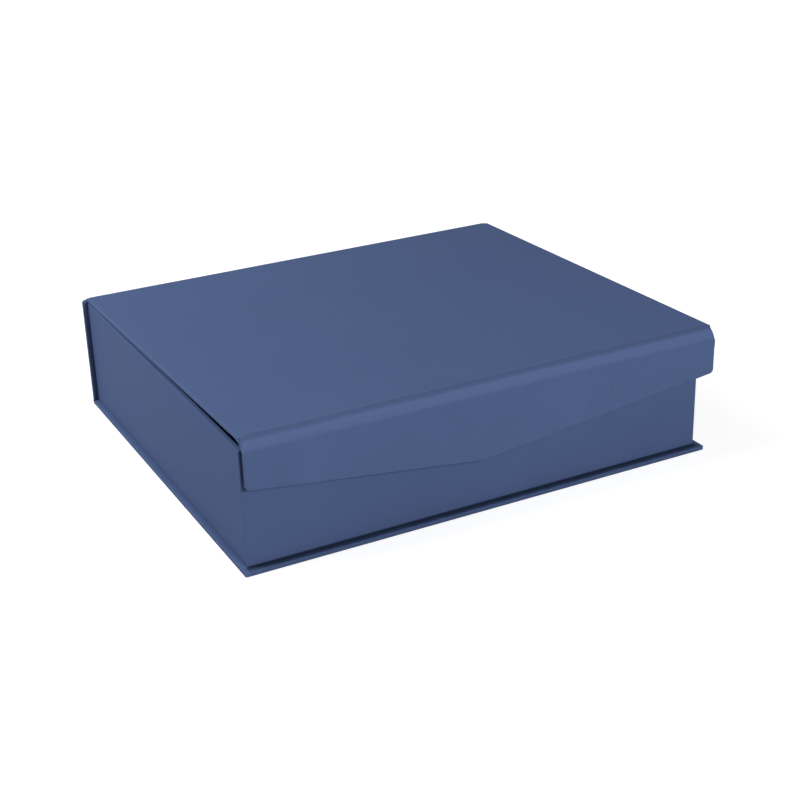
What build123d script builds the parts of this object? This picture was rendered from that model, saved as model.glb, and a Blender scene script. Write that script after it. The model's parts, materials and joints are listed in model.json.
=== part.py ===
from build123d import *
from math import cos, radians, sin
import os

# Clamshell book box. A greyboard tray is glued into a wrapped case of four boards: base, spine,
# lid and front flap. Folded paper joints carry the lid and the flap, and magnets hide in the
# flap and in the tray's front wall.
# Millimetres. +X runs right along the front, +Y to the spine, +Z up.
# The origin is the centre of the base's underside.

# ---- Driving dimensions -------------------------------------------------------------------
CASE_WIDTH = 240.0  # each case board with its paper, left to right
CASE_DEPTH = 211.0  # front edge of the base to the back of the spine
BOARD = 1.8  # greyboard of the case and the tray
PAPER = 0.2  # wrapping paper and lining paper
TURN_IN = 15.0  # wrapping paper folded over each board's inner face
BOARD_SOFTNESS = 0.5  # rounding of a case board's long edges
BASE_SOFTNESS = 0.3  # the same on the base, whose edges are crisper
CORNER_RADIUS = 0.7  # rounding of a case board's corners, in plan
FLAP_SOFTNESS = 0.8  # the flap is handled most, so its edges are rounder
FLAP_CORNER_RADIUS = 2.4  # the same for its corners, in plan

TRAY_LEFT_INSET = 2.4  # base's left edge to the tray
TRAY_RIGHT_INSET = 3.3  # base's right edge to the tray
TRAY_FRONT_INSET = 4.1  # base's front edge to the tray
TRAY_HEIGHT = 54.8  # tray alone, with its paper
TRAY_TURN_IN = 18.0  # tray's wrapping paper folded down inside the walls
TRAY_EDGE_SOFTNESS = 0.55  # rounding of the wrapped tray's outer edges, foot and rim too
STAY_REACH = 12.0  # corner tape along each wall
STAY_PAPER = 0.1  # corner tape under the wrapping paper

LID_CLEARANCE = 0.2  # tray's rim to a lid that is pressed down
LID_SHIFT = 2.6  # the lid and flap sit this far right of the base
LID_AJAR = 1.1  # degrees that the closed lid stays up, held by its paper joint
LID_SPINE_GAP = 2.0  # lid's rear edge to the lid's pivot line
SPINE_TOP_GAP = 1.2  # spine's top edge to the lid's pivot line
LID_PIVOT_DEPTH = 0.8  # lid's pivot line under the paper, from the top and from the back
JOINT_BEND = 1.5  # outer radius of the paper joint on the spine
JOINT_CLEARANCE = 0.15  # gap between a bending paper strip and the piece that moves on it

FLAP_GAP = 3.0  # tray's front wall to the flap
FLAP_END_DROP = 16.8  # flap's height at its two ends
FLAP_POINT_DROP = 31.5  # flap's height at the shallow point
FLAP_POINT_OFFSET = -5.7  # the point, from the middle of the flap
FLAP_SET_BACK = 4.5  # lid's front edge behind the flap's outer face
FLAP_SET_DOWN = 6.2  # flap's top edge below the lid's top
FLAP_JOINT_CROWN = 0.7  # how far the wide paper joint bows out

MAGNET_RADIUS = 5.0
MAGNET_CLEARANCE = 0.1  # magnet to the hole punched in its board
MAGNET_SPREAD = 120.0  # between the two magnets of a pair
MAGNET_DROP = 15.0  # flap's top edge down to the magnets

# ---- Worked-out sizes and places ----------------------------------------------------------
SKIN = BOARD + 2 * PAPER
PANEL_SOFTNESS = BOARD_SOFTNESS + PAPER
BASE_FRONT = -CASE_DEPTH / 2
SPINE_BACK = CASE_DEPTH / 2
SPINE_INNER = SPINE_BACK - SKIN

TRAY_LEFT = -CASE_WIDTH / 2 + TRAY_LEFT_INSET
TRAY_RIGHT = CASE_WIDTH / 2 - TRAY_RIGHT_INSET
TRAY_FRONT = BASE_FRONT + TRAY_FRONT_INSET
TRAY_BACK = SPINE_INNER
TRAY_BOTTOM = SKIN
TRAY_RIM = TRAY_BOTTOM + TRAY_HEIGHT

LID_TOP = TRAY_RIM + LID_CLEARANCE + SKIN  # with the lid pressed down
LID_PIVOT = (0, SPINE_BACK - LID_PIVOT_DEPTH, LID_TOP - LID_PIVOT_DEPTH)
LID_REAR = LID_PIVOT[1] - LID_SPINE_GAP
SPINE_TOP = LID_PIVOT[2] - SPINE_TOP_GAP

FLAP_OUTER = TRAY_FRONT - FLAP_GAP - SKIN
LID_FRONT = FLAP_OUTER + FLAP_SET_BACK  # with the lid pressed down
LID_TURN = Axis(LID_PIVOT, (-1, 0, 0))


def spread(low, high):
    """Box that fills the space between two opposite corners."""
    size = [b - a for a, b in zip(low, high)]
    middle = [(a + b) / 2 for a, b in zip(low, high)]
    return Pos(*middle) * Box(*size)


def one_solid(shape):
    """The largest solid of a shape, without the slivers that a cut can leave."""
    return shape.solids().sort_by(SortBy.VOLUME)[-1]


def across(profile, shift):
    """Strip as wide as the case from a profile drawn with x as Y and y as Z."""
    strip = extrude(profile, CASE_WIDTH / 2, both=True)
    return Pos(shift, 0, 0) * Rot(0, 0, 90) * Rot(90, 0, 0) * strip


# ---- A case board with its papers ---------------------------------------------------------
def wrapped_panel(outline, low_y, high_y, corner=CORNER_RADIUS, softness=BOARD_SOFTNESS):
    """Board, wrapping paper and lining paper of one flat panel.

    The panel lies with its outer face on the plane z = 0. The outline runs past the edges
    at low_y and high_y where a joint follows, because the board isn't turned in there.
    """
    keep = spread((-CASE_WIDTH, low_y, 0), (CASE_WIDTH, high_y, SKIN))
    soft = fillet(outline.vertices(), corner)

    skin = extrude(soft, SKIN)
    skin = fillet(skin.faces().sort_by(Axis.Z)[0].edges(), softness + PAPER)
    skin = fillet(skin.faces().sort_by(Axis.Z)[-1].edges(), softness + PAPER)

    core = Pos(0, 0, PAPER) * extrude(offset(soft, -PAPER), BOARD)
    core = fillet(core.faces().sort_by(Axis.Z)[0].edges(), softness)
    core = fillet(core.faces().sort_by(Axis.Z)[-1].edges(), softness)

    inner = offset(outline, -TURN_IN, kind=Kind.INTERSECTION)
    sheet = Pos(0, 0, PAPER + BOARD) * extrude(inner, PAPER)

    board = one_solid(core & keep)
    lining = one_solid(sheet & keep)
    wrap = one_solid((skin & keep) - core - sheet)
    return {"board": board, "wrap": wrap, "lining": lining}


def rectangle(low_y, high_y):
    """Outline as wide as the case."""
    return Pos(0, (low_y + high_y) / 2) * Rectangle(CASE_WIDTH, high_y - low_y)


def name_panel(panel, prefix, place):
    """Node names and placed solids of one panel."""
    return {f"{prefix}_{piece}": place(solid) for piece, solid in panel.items()}


# ---- Base and spine -----------------------------------------------------------------------
RUN_ON = 2 * TURN_IN  # how far an outline runs past a joint


def base_nodes():
    outline = rectangle(BASE_FRONT, SPINE_INNER + RUN_ON)
    panel = wrapped_panel(outline, BASE_FRONT, SPINE_INNER, softness=BASE_SOFTNESS)
    return name_panel(panel, "base", lambda solid: solid)


def spine_nodes():
    outline = rectangle(SKIN - RUN_ON, SPINE_TOP + RUN_ON)
    panel = wrapped_panel(outline, SKIN, SPINE_TOP)
    stand = Pos(0, SPINE_BACK, 0) * Rot(90, 0, 0)
    return name_panel(panel, "spine", lambda solid: stand * solid)


def base_hinge_paper():
    """Folded paper that rounds the corner between the base and the spine."""
    ring = Circle(SKIN) - Circle(SKIN - 2 * PAPER)
    quarter = ring & (Pos(SKIN / 2, -SKIN / 2) * Rectangle(SKIN, SKIN))
    return Pos(0, SPINE_INNER, SKIN) * across(quarter, 0)


# ---- Lid and its joint --------------------------------------------------------------------
def lid_nodes():
    outline = rectangle(-LID_REAR - RUN_ON, -LID_FRONT + RUN_ON)
    panel = wrapped_panel(outline, -LID_REAR, -LID_FRONT)
    turn_over = Pos(LID_SHIFT, 0, LID_TOP) * Rot(180, 0, 0)
    return name_panel(panel, "lid", lambda solid: (turn_over * solid).rotate(LID_TURN, LID_AJAR))


def lid_hinge_paper():
    """Wrapping and lining paper glued together where the lid folds on the spine."""
    thick = 2 * PAPER
    low = SPINE_TOP + JOINT_CLEARANCE
    near = LID_REAR + JOINT_CLEARANCE
    outer = Polyline((SPINE_BACK, low), (SPINE_BACK, LID_TOP), (near, LID_TOP))
    inner = Polyline((near, LID_TOP - thick), (SPINE_BACK - thick, LID_TOP - thick), (SPINE_BACK - thick, low))
    ends = Line(inner @ 1, outer @ 0) + Line(outer @ 1, inner @ 0)
    profile = make_face(outer + inner + ends)
    corners = profile.vertices().sort_by_distance((SPINE_BACK, LID_TOP, 0))
    profile = fillet(corners[0], JOINT_BEND)
    corners = profile.vertices().sort_by_distance((SPINE_BACK - thick, LID_TOP - thick, 0))
    profile = fillet(corners[0], JOINT_BEND - thick)
    return across(profile, LID_SHIFT / 2)


# ---- Flap and its joint -------------------------------------------------------------------
def on_lid(y, z):
    """Where a point of the pressed-down lid is while the lid stands ajar."""
    out = y - LID_PIVOT[1]
    up = z - LID_PIVOT[2]
    turn = radians(LID_AJAR)
    return Vector(
        LID_PIVOT[1] + out * cos(turn) + up * sin(turn),
        LID_PIVOT[2] - out * sin(turn) + up * cos(turn),
    )


def flap_top():
    """Height of the flap's top edge, below the front of the lid as it stands."""
    return on_lid(LID_FRONT, LID_TOP).Y - FLAP_SET_DOWN


def magnet_places():
    """X of the two magnets in each pair."""
    return [LID_SHIFT - MAGNET_SPREAD / 2, LID_SHIFT + MAGNET_SPREAD / 2]


def magnets(inner_y, radius):
    """A pair of discs through a board whose front face is at inner_y."""
    height = flap_top() - MAGNET_DROP
    disc = Rot(90, 0, 0) * Cylinder(radius, BOARD)
    return [Pos(x, inner_y + BOARD / 2, height) * disc for x in magnet_places()]


def punch(board, front_face):
    """Cut the holes that a pair of magnets sits in."""
    for hole in magnets(front_face, MAGNET_RADIUS + MAGNET_CLEARANCE):
        board = board - hole
    return one_solid(board)


def flap_nodes():
    half = CASE_WIDTH / 2
    top = -RUN_ON
    point = (FLAP_POINT_OFFSET, FLAP_POINT_DROP)
    corners = [(-half, top), (half, top), (half, FLAP_END_DROP), point, (-half, FLAP_END_DROP)]
    outline = make_face(Polyline(*corners, close=True))
    panel = wrapped_panel(outline, 0, FLAP_POINT_DROP, FLAP_CORNER_RADIUS, FLAP_SOFTNESS)
    hang = Pos(LID_SHIFT, FLAP_OUTER, flap_top()) * Rot(-90, 0, 0)
    nodes = name_panel(panel, "flap", lambda solid: hang * solid)
    nodes["flap_board"] = punch(nodes["flap_board"], FLAP_OUTER + PAPER)
    nodes["flap_magnets"] = Compound(magnets(FLAP_OUTER + PAPER, MAGNET_RADIUS))
    return nodes


def flap_hinge_paper():
    """Wrapping and lining paper glued together in the wide joint between lid and flap."""
    thick = 2 * PAPER
    edge = PANEL_SOFTNESS / 2  # where the strip leaves each board's rounded edge
    start = on_lid(LID_FRONT, LID_TOP - edge)
    end = Vector(FLAP_OUTER + edge, flap_top())
    along = (end - start).normalized()
    inward = Vector(-along.Y, along.X)
    crown = (start + end) / 2 - inward * FLAP_JOINT_CROWN
    outer = ThreePointArc(start, crown, end)
    step = inward * thick
    inner = ThreePointArc(end + step, crown + step, start + step)
    ends = Line(outer @ 1, inner @ 0) + Line(inner @ 1, outer @ 0)
    band = make_face(outer + inner + ends)
    width = start.X - JOINT_CLEARANCE - FLAP_OUTER
    height = start.Y - flap_top() - JOINT_CLEARANCE
    room = Pos(FLAP_OUTER + width / 2, start.Y - height / 2) * Rectangle(width, height)
    profile = band & room
    return across(profile, LID_SHIFT)


# ---- Tray ---------------------------------------------------------------------------------
def inset(amount, low_z, high_z):
    """Block inside the tray's outer faces by the amount, between two heights."""
    low = (TRAY_LEFT + amount, TRAY_FRONT + amount, low_z)
    high = (TRAY_RIGHT - amount, TRAY_BACK - amount, high_z)
    return spread(low, high)


def soft_inset(amount, low_z, high_z):
    """The same block with its upright corners rounded."""
    upright = inset(amount, low_z, high_z).edges().filter_by(Axis.Z)
    return fillet(upright, TRAY_EDGE_SOFTNESS - amount)


def tray_board_nodes():
    """Four walls and a floor, all cut from the same board."""
    low_z = TRAY_BOTTOM + PAPER
    high_z = TRAY_RIM - PAPER
    left, right = TRAY_LEFT + PAPER, TRAY_RIGHT - PAPER
    front, back = TRAY_FRONT + PAPER, TRAY_BACK - PAPER
    walls = soft_inset(PAPER, low_z, high_z)
    front_wall = one_solid(walls & spread((left, front, low_z), (right, front + BOARD, high_z)))
    rear_wall = one_solid(walls & spread((left, back - BOARD, low_z), (right, back, high_z)))
    return {
        "tray_front_board": punch(front_wall, front),
        "tray_rear_board": rear_wall,
        "tray_left_board": spread((left, front + BOARD, low_z), (left + BOARD, back - BOARD, high_z)),
        "tray_right_board": spread((right - BOARD, front + BOARD, low_z), (right, back - BOARD, high_z)),
        "tray_floor_board": inset(PAPER + BOARD, low_z, low_z + BOARD),
        "tray_magnets": Compound(magnets(front, MAGNET_RADIUS)),
    }


def corner_stays():
    """Tape round each wall corner, under the wrapping paper and clear of the foot and rim."""
    low_z = TRAY_BOTTOM + TRAY_EDGE_SOFTNESS
    high_z = TRAY_RIM - TRAY_EDGE_SOFTNESS
    ring = soft_inset(PAPER - STAY_PAPER, low_z, high_z) - soft_inset(PAPER, low_z, high_z)
    stays = []
    for x in (TRAY_LEFT, TRAY_RIGHT):
        for y in (TRAY_FRONT, TRAY_BACK):
            reach = Pos(x, y, (low_z + high_z) / 2) * Box(2 * STAY_REACH, 2 * STAY_REACH, TRAY_HEIGHT)
            stays.append(one_solid(ring & reach))
    return stays


def tray_wrap(stays):
    """Paper outside the walls, over the rim, down inside and round under the floor."""
    skin = soft_inset(0, TRAY_BOTTOM, TRAY_RIM)
    skin = fillet(skin.faces().sort_by(Axis.Z)[0].edges(), TRAY_EDGE_SOFTNESS)
    skin = fillet(skin.faces().sort_by(Axis.Z)[-1].edges(), TRAY_EDGE_SOFTNESS)
    wall = PAPER + BOARD
    turn_bottom = TRAY_RIM - TRAY_TURN_IN
    skin = skin - inset(PAPER, TRAY_BOTTOM + PAPER, TRAY_RIM - PAPER)
    skin = skin - inset(TURN_IN, TRAY_BOTTOM, TRAY_BOTTOM + PAPER)
    skin = skin - inset(wall, TRAY_RIM - PAPER, TRAY_RIM)
    inside = inset(wall, turn_bottom, TRAY_RIM) - inset(wall + PAPER, turn_bottom, TRAY_RIM)
    skin = skin + inside
    for stay in stays:
        skin = skin - stay
    return one_solid(skin)


def tray_lining_nodes():
    """Lining paper on the floor and on the walls below the turned-in wrapping paper."""
    wall = PAPER + BOARD
    floor_z = TRAY_BOTTOM + PAPER + BOARD
    low_z = floor_z + PAPER
    high_z = TRAY_RIM - TRAY_TURN_IN
    ring = inset(wall, low_z, high_z) - inset(wall + PAPER, low_z, high_z)
    between = spread(
        (TRAY_LEFT, TRAY_FRONT + wall + PAPER, low_z),
        (TRAY_RIGHT, TRAY_BACK - wall - PAPER, high_z),
    )
    strips = (ring & between).solids() + (ring - between).solids()
    return {
        "tray_wall_linings": Compound(list(strips)),
        "tray_floor_lining": inset(wall, floor_z, floor_z + PAPER),
    }


def tray_nodes():
    stays = corner_stays()
    nodes = tray_board_nodes()
    nodes["tray_corner_stays"] = Compound(stays)
    nodes["tray_wrap"] = tray_wrap(stays)
    nodes.update(tray_lining_nodes())
    return nodes


# ---- Whole box ----------------------------------------------------------------------------
def build():
    nodes = base_nodes()
    nodes["base_hinge_paper"] = base_hinge_paper()
    nodes.update(spine_nodes())
    nodes.update(tray_nodes())
    nodes["lid_hinge_paper"] = lid_hinge_paper()
    nodes.update(lid_nodes())
    nodes["flap_hinge_paper"] = flap_hinge_paper()
    nodes.update(flap_nodes())
    return nodes


os.makedirs("parts", exist_ok=True)
for node, shape in build().items():
    export_step(shape, f"parts/{node}.step")
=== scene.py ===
"""Clamshell book box for papers and keepsakes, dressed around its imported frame.

The box is greyboard wrapped in one steel-blue satin paper: a tray in a case of four boards whose
pointed front flap closes on hidden magnets. Sizes are in metres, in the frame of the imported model.
"""

import json
import logging
import math
from dataclasses import asdict, dataclass, field, replace
from enum import Enum
from typing import Callable, ClassVar, Iterable, Sequence

import bmesh
import bpy
from mathutils import Matrix, Vector

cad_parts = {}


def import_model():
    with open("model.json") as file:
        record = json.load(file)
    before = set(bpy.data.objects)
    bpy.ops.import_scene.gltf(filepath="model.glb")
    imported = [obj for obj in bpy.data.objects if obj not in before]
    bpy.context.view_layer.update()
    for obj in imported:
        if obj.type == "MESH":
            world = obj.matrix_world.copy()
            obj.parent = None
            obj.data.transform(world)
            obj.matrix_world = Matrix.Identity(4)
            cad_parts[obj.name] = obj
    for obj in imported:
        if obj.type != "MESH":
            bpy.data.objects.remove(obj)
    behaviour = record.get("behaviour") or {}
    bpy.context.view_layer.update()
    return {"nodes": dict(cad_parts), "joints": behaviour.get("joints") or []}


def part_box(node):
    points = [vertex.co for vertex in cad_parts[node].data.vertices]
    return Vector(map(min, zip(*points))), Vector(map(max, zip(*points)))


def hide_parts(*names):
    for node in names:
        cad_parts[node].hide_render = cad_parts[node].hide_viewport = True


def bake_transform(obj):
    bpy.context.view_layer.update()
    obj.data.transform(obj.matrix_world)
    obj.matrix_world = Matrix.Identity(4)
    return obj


LOG = logging.getLogger("book_box")
MM = 0.001
LID_AJAR = math.radians(1.1)
TOUCH = 0.001 * MM  # points this close together are one point
OVERLAP = 0.02 * MM  # how far a joint's paper passes the ends of its boards

Triple = tuple[float, float, float]
Output = bpy.types.NodeSocket
Piece = bpy.types.Object


class Grain(Enum):
    """Which way the calendered paper runs on a board: stretch of its pattern along X, Y and Z."""

    ALONG_WIDTH = (0.25, 1.0, 1.0)
    ALONG_DEPTH = (1.0, 0.25, 1.0)
    UPRIGHT = (1.0, 1.0, 0.22)


# ---- Shader node helpers ------------------------------------------------------------------
class NodePad:
    """A node tree that is filled from left to right."""

    def __init__(self, tree: bpy.types.NodeTree) -> None:
        """Starts on an empty tree.

        Args:
            tree: The material's or group's node tree.
        """
        self.tree = tree
        self.tree.nodes.clear()
        self.count = 0

    def add(self, kind: str, **settings: object) -> bpy.types.Node:
        """Adds a node.

        Args:
            kind: The node's type name, without its "ShaderNode" prefix where it has one.
            settings: Properties of the node, and its input values under "inputs".

        Returns:
            The new node.
        """
        name = kind if kind.startswith("Node") else f"ShaderNode{kind}"
        node = self.tree.nodes.new(name)
        node.location = (180 * self.count, 0)
        self.count += 1
        inputs = settings.pop("inputs", {})
        for key, value in settings.items():
            setattr(node, key, value)
        self.fill(node, inputs)
        return node

    def fill(self, node: bpy.types.Node, inputs: dict[str | int, object]) -> None:
        """Sets inputs of a node.

        Args:
            node: The node.
            inputs: A socket or a value for each input, by its name or number.
        """
        for key, value in inputs.items():
            if isinstance(value, Output):
                self.tree.links.new(value, node.inputs[key])
            else:
                node.inputs[key].default_value = value

    def maths(self, operation: str, *terms: object, clamp: bool = False) -> Output:
        """Adds a Math node.

        Args:
            operation: The Math node's operation.
            terms: Its inputs, as sockets or numbers.
            clamp: Whether the result is kept from 0 to 1.

        Returns:
            Its output socket.
        """
        inputs = dict(enumerate(terms))
        return self.add("Math", operation=operation, use_clamp=clamp, inputs=inputs).outputs[0]

    def vector(self, operation: str, *terms: object) -> Output:
        """Adds a Vector Math node.

        Args:
            operation: The node's operation.
            terms: Its inputs, as sockets or vectors.

        Returns:
            Its output socket: a number for a dot product or a length, otherwise a vector.
        """
        node = self.add("VectorMath", operation=operation, inputs=dict(enumerate(terms)))
        return node.outputs["Value" if operation in ("DOT_PRODUCT", "LENGTH") else "Vector"]

    def noise(self, place: object, scale: object, detail: float, **others: float) -> Output:
        """Adds a Noise Texture node.

        Args:
            place: Where the pattern is looked up.
            scale: Its scale, per metre.
            detail: Its detail.
            others: Further inputs by name, in lower case.

        Returns:
            The socket of its value.
        """
        inputs = {"Vector": place, "Scale": scale, "Detail": detail}
        inputs.update({name.capitalize(): value for name, value in others.items()})
        return self.add("TexNoise", inputs=inputs).outputs[0]

    def coords(self) -> Output:
        """The place on the piece, in the object's own coordinates."""
        return self.add("TexCoord").outputs["Object"]

    def finish(
        self, colour: Output, rough: Output, height: Output, bump: float, **others: float
    ) -> None:
        """Adds the shader of a finish, and the material's output.

        Args:
            colour: Its colour.
            rough: Its roughness.
            height: Height of its relief, about 0 to 1.
            bump: Depth of the relief in metres.
            others: Further inputs of the shader by name.
        """
        relief = self.add("Bump", inputs={"Distance": bump, "Height": height}).outputs[0]
        inputs = {"Base Color": colour, "Roughness": rough, "Normal": relief, **others}
        shader = self.add("BsdfPrincipled", inputs=inputs)
        self.add("OutputMaterial", inputs={"Surface": shader.outputs[0]})

    def remap(
        self, value: object, low: float, high: float, to_low: float, to_high: float
    ) -> Output:
        """Adds a smooth Map Range node.

        Args:
            value: The value that is mapped.
            low: Value that gives to_low.
            high: Value that gives to_high.
            to_low: Lowest result.
            to_high: Highest result.

        Returns:
            Its output socket.
        """
        inputs = {0: value, 1: low, 2: high, 3: to_low, 4: to_high}
        return self.add("MapRange", interpolation_type="SMOOTHSTEP", inputs=inputs).outputs[0]

    def tint(self, factor: object, low: Sequence[float], high: object) -> Output:
        """Adds a colour mix.

        Args:
            factor: Share of the second colour.
            low: First colour, or its socket.
            high: Second colour, or its socket.

        Returns:
            Its output socket.
        """
        first, second = (
            colour if isinstance(colour, Output) else (*colour, 1.0) for colour in (low, high)
        )
        inputs = {0: factor, 6: first, 7: second}
        return self.add("Mix", data_type="RGBA", inputs=inputs).outputs[2]


@dataclass(frozen=True)
class Socket:
    """One named input or output of a node group."""

    name: str
    kind: str = "Float"
    is_output: bool = False
    value: object = None


def new_group(name: str, sockets: Iterable[Socket]) -> tuple[NodePad, bpy.types.NodeOutputs]:
    """Starts a shader node group.

    Args:
        name: The group's name.
        sockets: Its named inputs and outputs.

    Returns:
        The pad to fill, and what the group is given, by name.
    """
    tree = bpy.data.node_groups.new(name, "ShaderNodeTree")
    for socket in sockets:
        side = "OUTPUT" if socket.is_output else "INPUT"
        kind = f"NodeSocket{socket.kind}"
        made = tree.interface.new_socket(socket.name, in_out=side, socket_type=kind)
        if socket.value is not None:
            made.default_value = socket.value
    pad = NodePad(tree)
    return pad, pad.add("NodeGroupInput").outputs


def paper_surface_group() -> bpy.types.NodeTree:
    """Mottle, felt and drawn-out streaks of calendered paper.

    Returns:
        A group that turns a place on the paper into tone, gloss and height, each from 0 to 1.
    """
    pad, given = new_group("paper_surface", [
        Socket("Place", "Vector"),
        Socket("Stretch", "Vector"),
        Socket("Mottle", value=38.0),
        Socket("Felt", value=950.0),
        Socket("Streak"),
        Socket("Tone", is_output=True),
        Socket("Gloss", is_output=True),
        Socket("Height", is_output=True),
    ])
    place = given["Place"]
    drawn = pad.vector("MULTIPLY", place, given["Stretch"])
    mottle = pad.noise(place, given["Mottle"], 3.0, roughness=0.55)
    cloud = pad.noise(place, 9.0, 1.0)
    streaks = pad.noise(drawn, 620.0, 3.0, roughness=0.6, distortion=0.4)
    felt = pad.noise(place, given["Felt"], 2.0, roughness=0.7)
    broad = pad.maths("MULTIPLY_ADD", mottle, 0.55, pad.maths("MULTIPLY", cloud, 0.45))
    fine = pad.maths("MULTIPLY", pad.maths("SUBTRACT", streaks, 0.5), given["Streak"])
    tone = pad.maths("ADD", broad, pad.maths("MULTIPLY", fine, 0.5), clamp=True)
    gloss = pad.maths("ADD", mottle, fine, clamp=True)
    relief = pad.maths("ADD", fine, pad.maths("MULTIPLY", mottle, 0.5))
    height = pad.maths("MULTIPLY_ADD", felt, 0.35, relief)
    pad.add("NodeGroupOutput", inputs={"Tone": tone, "Gloss": gloss, "Height": height})
    return pad.tree


def rubbed_edge_group() -> bpy.types.NodeTree:
    """Wear along the edges of a board.

    A point near two faces of the board's box is near an edge. A cloudy pattern breaks the wear up.

    Returns:
        A group that gives a mask from 0 to 1.
    """
    pad, given = new_group("rubbed_edge", [
        Socket("Place", "Vector"),
        Socket("Low", "Vector"),
        Socket("High", "Vector"),
        Socket("Width", value=0.7 * MM),
        Socket("Worn", is_output=True),
    ])
    place = given["Place"]
    under = pad.vector("SUBTRACT", place, given["Low"])
    over = pad.vector("SUBTRACT", given["High"], place)
    near = pad.vector("MINIMUM", under, over)
    a, b, c = pad.add("SeparateXYZ", inputs={0: near}).outputs
    low = pad.maths("MINIMUM", a, b)
    high = pad.maths("MAXIMUM", a, b)
    second = pad.maths("MAXIMUM", low, pad.maths("MINIMUM", high, c))
    close = pad.remap(pad.maths("DIVIDE", second, given["Width"]), 0.2, 1.2, 1.0, 0.0)
    patches = pad.noise(place, 260.0, 3.0, roughness=0.65)
    broken = pad.remap(patches, 0.4, 0.66, 0.15, 1.0)
    pad.add("NodeGroupOutput", inputs={"Worn": pad.maths("MULTIPLY", close, broken)})
    return pad.tree


def seam_shade_group() -> bpy.types.NodeTree:
    """Where a seam's tone is laid: painted shade or a painted highlight, in place of light that the
    lamps don't shade finely enough, or the tone of pasted paper.

    It is strongest at the seam and changes along the direction away from it. Across, it ends.

    Returns:
        A group that gives a mask from 0 to 1, and 0 behind the seam.
    """
    pad, given = new_group("seam_shade", [
        Socket("Place", "Vector"),
        Socket("Away", "Vector"),
        Socket("Start"),
        Socket("Width"),
        Socket("Near"),
        Socket("Far"),
        Socket("Soft"),
        Socket("Across", "Vector"),
        Socket("Middle"),
        Socket("Half"),
        Socket("Fade"),
        Socket("Shade", is_output=True),
    ])
    place, near = given["Place"], given["Near"]
    out = pad.vector("DOT_PRODUCT", place, given["Away"])
    uneven = pad.noise(place, 190.0, 3.0, roughness=0.6)
    wander = pad.maths("MULTIPLY", pad.maths("SUBTRACT", uneven, 0.5), 0.5)
    past = pad.maths("SUBTRACT", out, given["Start"])
    share = pad.maths("DIVIDE", past, given["Width"])
    open_side = pad.maths("ADD", pad.maths("DIVIDE", share, given["Soft"]), 1.0, clamp=True)
    along = pad.remap(pad.maths("ADD", share, wander), 0.15, 1.15, 0.0, 1.0)
    change = pad.maths("SUBTRACT", given["Far"], near)
    fade = pad.maths("MULTIPLY_ADD", along, change, near)
    aside = pad.vector("DOT_PRODUCT", place, given["Across"])
    off = pad.maths("ABSOLUTE", pad.maths("SUBTRACT", aside, given["Middle"]))
    beyond = pad.maths("DIVIDE", pad.maths("SUBTRACT", off, given["Half"]), given["Fade"])
    inside = pad.remap(beyond, -0.4, 1.0, 1.0, 0.1)
    shade = pad.maths("MULTIPLY", pad.maths("MULTIPLY", open_side, fade), inside, clamp=True)
    pad.add("NodeGroupOutput", inputs={"Shade": shade})
    return pad.tree


class Effects:
    """The shared node groups, each built once."""

    _made: dict[str, bpy.types.NodeTree] = {}
    _makers: dict[str, Callable[[], bpy.types.NodeTree]] = {
        "paper_surface": paper_surface_group,
        "rubbed_edge": rubbed_edge_group,
        "seam_shade": seam_shade_group,
    }

    @classmethod
    def place(cls, pad: NodePad, name: str, inputs: dict[str, object]) -> bpy.types.Node:
        """Places a shared group in a material.

        Args:
            pad: The material's pad.
            name: The group's name.
            inputs: Values or sockets for the group's inputs.

        Returns:
            The group node.
        """
        if name not in cls._made:
            cls._made[name] = cls._makers[name]()
        return pad.add("Group", node_tree=cls._made[name], inputs=inputs)


# ---- Finishes -----------------------------------------------------------------------------
# painted shade: a dark tone laid into corners, ledges and creases that the lamps leave too light
PAINTED_SHADE = (0.011, 0.017, 0.034)
PASTED = (0.0720, 0.1080, 0.2230)
# painted highlight: a light tone laid on the bowed paper of the flap joint
PAINTED_HIGHLIGHT = (0.0900, 0.1345, 0.2740)


@dataclass(frozen=True)
class Seam:
    """A line along a piece where its tone changes, such as a corner between two boards.

    Start is where the seam is along away, and width how far its tone runs, from near to far. Middle
    and half say where it is across, with a soft end. Its tone is painted shade, unless the seam is
    given a painted highlight or the tone of pasted paper.
    """

    away: Triple
    start: float
    width: float
    near: float
    far: float
    soft: float = 0.12
    across: Triple = (1.0, 0.0, 0.0)
    middle: float = 0.0
    half: float = 1.0
    fade: float = 1.2 * MM
    tone: Triple = PAINTED_SHADE


@dataclass(frozen=True)
class Extent:
    """Where a piece is, so that wear finds its edges, and the seams it has."""

    low: Triple
    high: Triple
    turn: float = 0.0
    centre: Triple = (0.0, 0.0, 0.0)
    seams: tuple[Seam, ...] = ()


def material_pad(name: str) -> tuple[bpy.types.Material, NodePad]:
    """Starts an empty material.

    Args:
        name: The material's name.

    Returns:
        The material and the pad to fill.
    """
    material = bpy.data.materials.new(name)
    material.use_nodes = True
    return material, NodePad(material.node_tree)


def seamed(pad: NodePad, coords: Output, colour: Output, seams: Sequence[Seam]) -> Output:
    """Lays the tone of each seam over a colour: painted shade, a painted highlight or pasted paper.

    Args:
        pad: The material's pad.
        coords: The place on the piece.
        colour: The colour of the open sheet.
        seams: The seams of the piece.

    Returns:
        The colour with its seams.
    """
    for seam in seams:
        values = {key.capitalize(): value for key, value in asdict(seam).items() if key != "tone"}
        shade = Effects.place(pad, "seam_shade", {"Place": coords, **values}).outputs["Shade"]
        colour = pad.tint(shade, colour, seam.tone)
    return colour


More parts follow.
